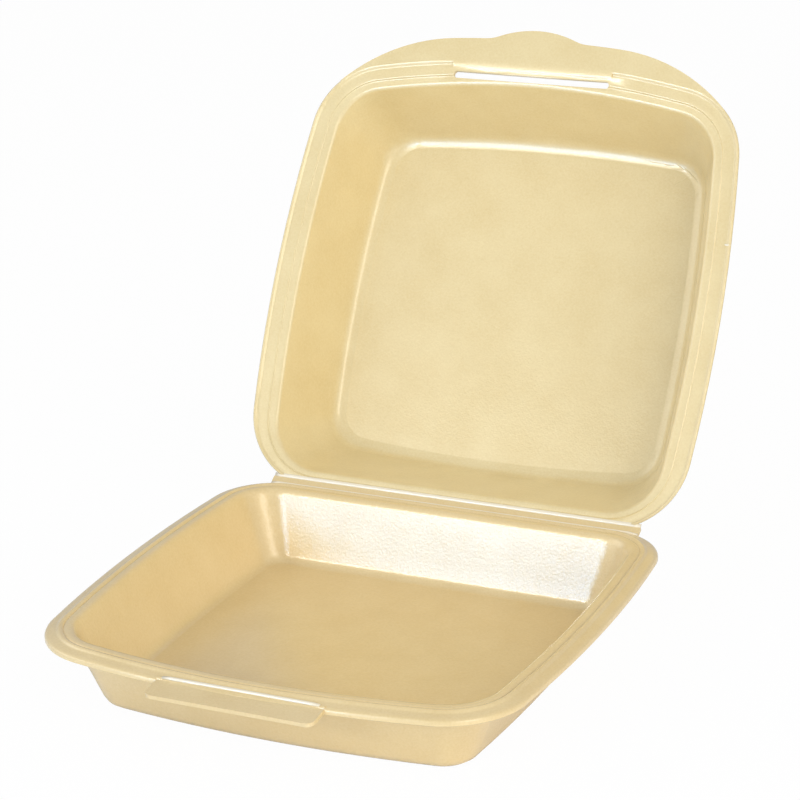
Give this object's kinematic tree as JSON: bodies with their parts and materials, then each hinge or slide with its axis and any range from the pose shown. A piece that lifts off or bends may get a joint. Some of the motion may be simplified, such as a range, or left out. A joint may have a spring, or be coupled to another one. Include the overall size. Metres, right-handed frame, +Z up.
{
  "type": "disposable food tray",
  "caption": "Hinged takeaway food box of moulded foam sheet with rolled rim, deep lid, lip, slot and locking tab.",
  "frame": {"origin": "centre of the tray's underside, on the table it stands on", "axes": "+Z up, X along the hinge, +Y from the locking tab at the front towards the hinge and the open lid"},
  "size_m": [0.24, 0.3744, 0.2477],
  "materials": {
    "pearl_foam_tray": "glossy champagne-gold film on polystyrene foam",
    "pearl_foam_hinge": "glossy champagne-gold film, creased",
    "pearl_foam_lid": "satin champagne-gold film on polystyrene foam"
  },
  "bodies": {
    "tray": {"tray": "pearl_foam_tray"},
    "strip": {"hinge_strip": "pearl_foam_hinge"},
    "lid": {"lid": "pearl_foam_lid"}
  },
  "joints": [
    {"name": "base_crease", "type": "hinge", "parent": "tray", "child": "strip", "pos_m": [0, 0.1094, 0.035], "axis": [1, 0, 0], "range_deg": [-22, 60]},
    {"name": "lid_crease", "type": "hinge", "parent": "strip", "child": "lid", "pos_m": [0, 0.11408, 0.0377], "axis": [1, 0, 0], "range_deg": [-22, 60]}
  ],
  "couplings": [
    {"joint": "base_crease", "follows": "lid_crease", "ratio": 1}
  ]
}
